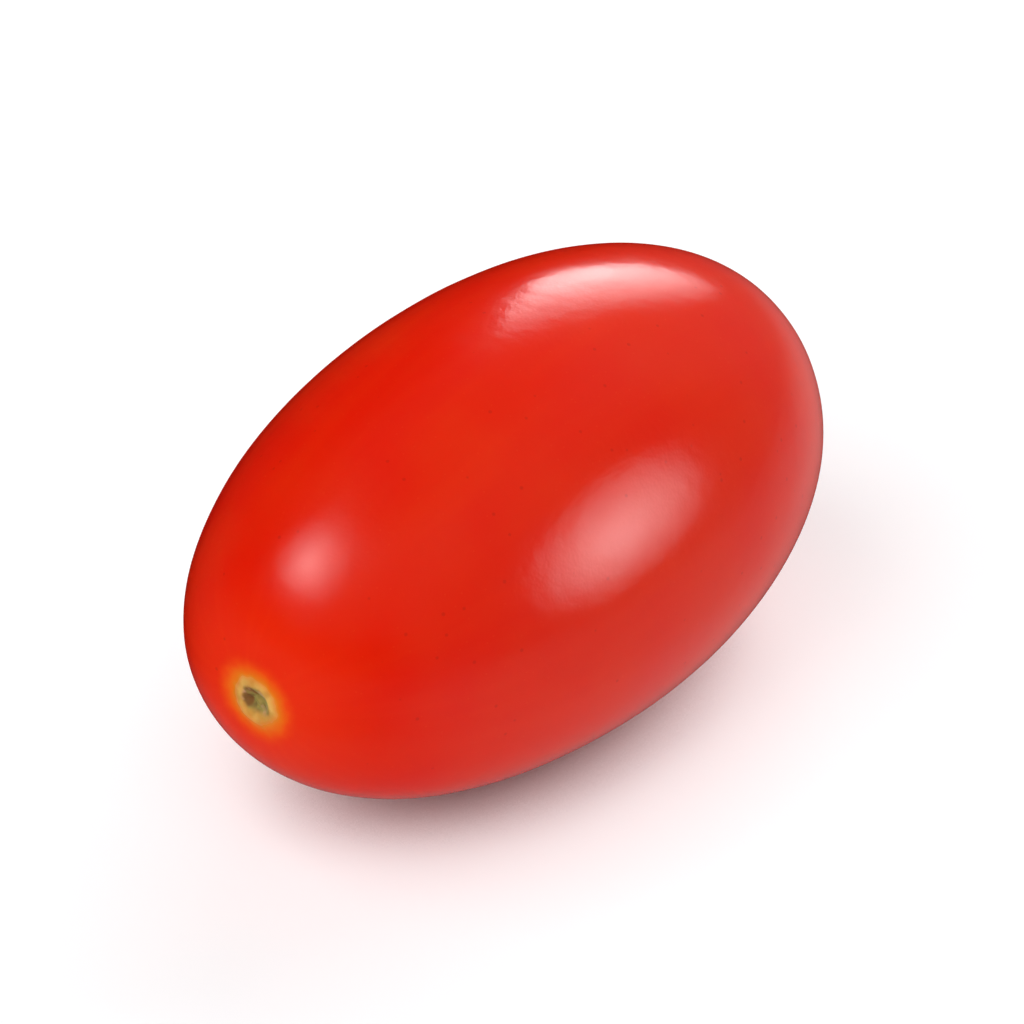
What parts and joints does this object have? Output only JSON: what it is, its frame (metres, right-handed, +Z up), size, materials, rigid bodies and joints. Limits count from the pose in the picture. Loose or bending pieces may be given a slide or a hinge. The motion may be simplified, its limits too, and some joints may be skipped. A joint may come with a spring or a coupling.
{
  "type": "tomato",
  "caption": "Small plum-shaped ripe red tomato, picked without its calyx, lying on its side, with a round corky stem scar at one end and a tiny point at the other.",
  "frame": {"origin": "on the resting plane, under the middle of the fruit's length and width, in the small flat spot that it rests on", "axes": "+X along the fruit from the stem scar to the blossom end, +Y across it, +Z up"},
  "size_m": [0.0402, 0.0244, 0.0235],
  "materials": {
    "tomato_skin": "smooth thin waxy skin, ripe red, a little more orange at the stem end, with soft gloss, very fine pale pores and a cream and brown corky stem scar in a yellow-orange halo"
  },
  "bodies": {
    "root": {"tomato": "tomato_skin"}
  },
  "joints": []
}
